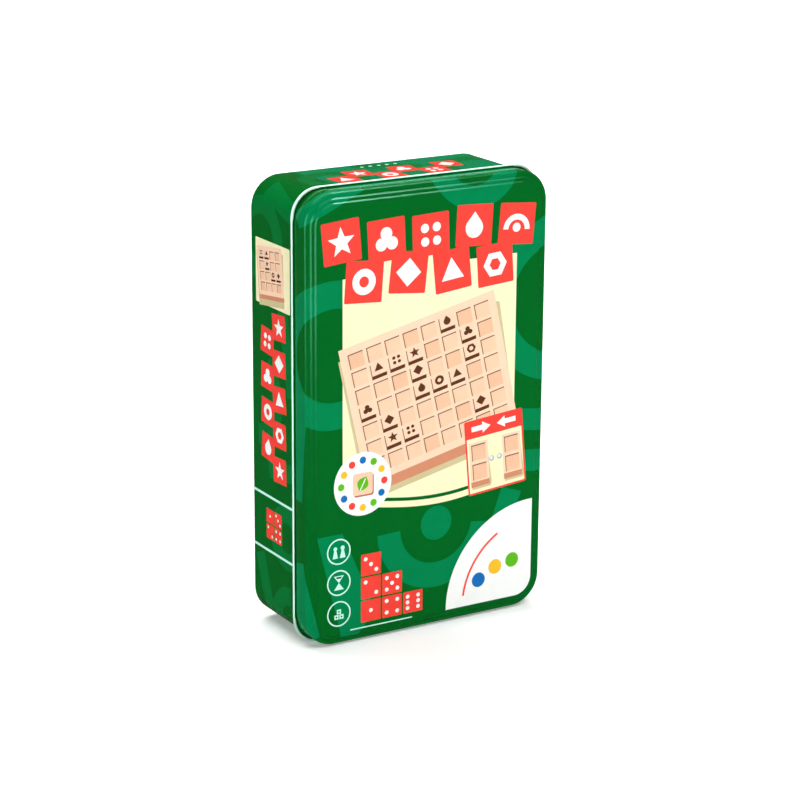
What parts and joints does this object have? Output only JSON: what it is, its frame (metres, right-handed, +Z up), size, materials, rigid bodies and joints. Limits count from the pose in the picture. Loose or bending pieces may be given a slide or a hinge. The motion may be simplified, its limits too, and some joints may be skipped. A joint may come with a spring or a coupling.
{
  "type": "travel word tile game case",
  "caption": "Slip-lid lacquered tin for a travel word game, standing on its short end, with magnetic board panels, tile racks and letter tiles in a moulded insert.",
  "frame": {"origin": "middle of the footprint of the case as it stands on its short end, on the surface it stands on", "axes": "+Z up along the length of the case, +X across its width to the right as the lid is faced, -Y out through the lid's face"},
  "size_m": [0.117, 0.0476, 0.193],
  "materials": {
    "lacquered_lid": "glossy green lacquer printed on tinplate, with bare tinplate on the curled edge and inside",
    "lacquered_body": "glossy green lacquer printed on tinplate, bare tinplate inside",
    "bare_tinplate": "bright rolled tinplate with fine scuffs",
    "insert_sheet": "vacuum-formed off-white sheet, soft sheen",
    "leaflet_paper": "uncoated folded paper",
    "panel_wood": "sanded pale beech, thin matt varnish",
    "magnet_plating": "nickel plating",
    "rack_wood": "sanded pale beech, thin matt varnish",
    "tile_wood": "sanded pale maple, matt"
  },
  "bodies": {
    "case": {"body_wall": "lacquered_body", "base_plate": "bare_tinplate"},
    "lid": {"lid_shell": "lacquered_lid"},
    "insert": {"insert_tray": "insert_sheet"},
    "leaflet": {"rules_leaflet": "leaflet_paper"},
    "panel_left": {"board_panel_left": "panel_wood", "magnets_left": "magnet_plating"},
    "panel_middle": {"board_panel_middle": "panel_wood", "magnets_middle_a": "magnet_plating", "magnets_middle_b": "magnet_plating"},
    "panel_right": {"board_panel_right": "panel_wood", "magnets_right": "magnet_plating"},
    "rack_1": {"tile_rack_1": "rack_wood"},
    "rack_2": {"tile_rack_2": "rack_wood"},
    "rack_3": {"tile_rack_3": "rack_wood"},
    "rack_4": {"tile_rack_4": "rack_wood"},
    "tile_row_1": {"tiles_1a": "tile_wood", "tiles_1b": "tile_wood", "tiles_1c": "tile_wood"},
    "tile_row_2": {"tiles_2a": "tile_wood", "tiles_2b": "tile_wood", "tiles_2c": "tile_wood"},
    "tile_row_3": {"tiles_3a": "tile_wood", "tiles_3b": "tile_wood", "tiles_3c": "tile_wood"},
    "tile_row_4": {"tiles_4a": "tile_wood", "tiles_4b": "tile_wood", "tiles_4c": "tile_wood"}
  },
  "joints": [
    {"name": "lid_lift", "type": "slide", "parent": "case", "child": "lid", "axis": [0, -1, 0], "range_m": [0, 0.16]},
    {"name": "insert_lift", "type": "slide", "parent": "case", "child": "insert", "axis": [0, -1, 0], "range_m": [0, 0.0453]},
    {"name": "leaflet_lift", "type": "slide", "parent": "case", "child": "leaflet", "axis": [0, -1, 0], "range_m": [0, 0.1333]},
    {"name": "panel_left_lift", "type": "slide", "parent": "case", "child": "panel_left", "axis": [0, -1, 0], "range_m": [0, 0.1157]},
    {"name": "panel_middle_lift", "type": "slide", "parent": "case", "child": "panel_middle", "axis": [0, -1, 0], "range_m": [0, 0.0997]},
    {"name": "panel_right_lift", "type": "slide", "parent": "case", "child": "panel_right", "axis": [0, -1, 0], "range_m": [0, 0.0853]},
    {"name": "rack_1_lift", "type": "slide", "parent": "case", "child": "rack_1", "axis": [0, -1, 0], "range_m": [0, 0.0869]},
    {"name": "rack_2_lift", "type": "slide", "parent": "case", "child": "rack_2", "axis": [0, -1, 0], "range_m": [0, 0.0869]},
    {"name": "rack_3_lift", "type": "slide", "parent": "case", "child": "rack_3", "axis": [0, -1, 0], "range_m": [0, 0.1061]},
    {"name": "rack_4_lift", "type": "slide", "parent": "case", "child": "rack_4", "axis": [0, -1, 0], "range_m": [0, 0.1061]},
    {"name": "tile_row_1_lift", "type": "slide", "parent": "case", "child": "tile_row_1", "axis": [0, -1, 0], "range_m": [0, 0.0805]},
    {"name": "tile_row_2_lift", "type": "slide", "parent": "case", "child": "tile_row_2", "axis": [0, -1, 0], "range_m": [0, 0.0869]},
    {"name": "tile_row_3_lift", "type": "slide", "parent": "case", "child": "tile_row_3", "axis": [0, -1, 0], "range_m": [0, 0.0933]},
    {"name": "tile_row_4_lift", "type": "slide", "parent": "case", "child": "tile_row_4", "axis": [0, -1, 0], "range_m": [0, 0.0997]}
  ],
  "couplings": [
    {"joint": "insert_lift", "follows": "lid_lift", "ratio": 0.28},
    {"joint": "leaflet_lift", "follows": "lid_lift", "ratio": 0.83},
    {"joint": "panel_left_lift", "follows": "lid_lift", "ratio": 0.72},
    {"joint": "panel_middle_lift", "follows": "lid_lift", "ratio": 0.62},
    {"joint": "panel_right_lift", "follows": "lid_lift", "ratio": 0.53},
    {"joint": "rack_1_lift", "follows": "lid_lift", "ratio": 0.54},
    {"joint": "rack_2_lift", "follows": "lid_lift", "ratio": 0.54},
    {"joint": "rack_3_lift", "follows": "lid_lift", "ratio": 0.66},
    {"joint": "rack_4_lift", "follows": "lid_lift", "ratio": 0.66},
    {"joint": "tile_row_1_lift", "follows": "lid_lift", "ratio": 0.5},
    {"joint": "tile_row_2_lift", "follows": "lid_lift", "ratio": 0.54},
    {"joint": "tile_row_3_lift", "follows": "lid_lift", "ratio": 0.58},
    {"joint": "tile_row_4_lift", "follows": "lid_lift", "ratio": 0.62}
  ]
}
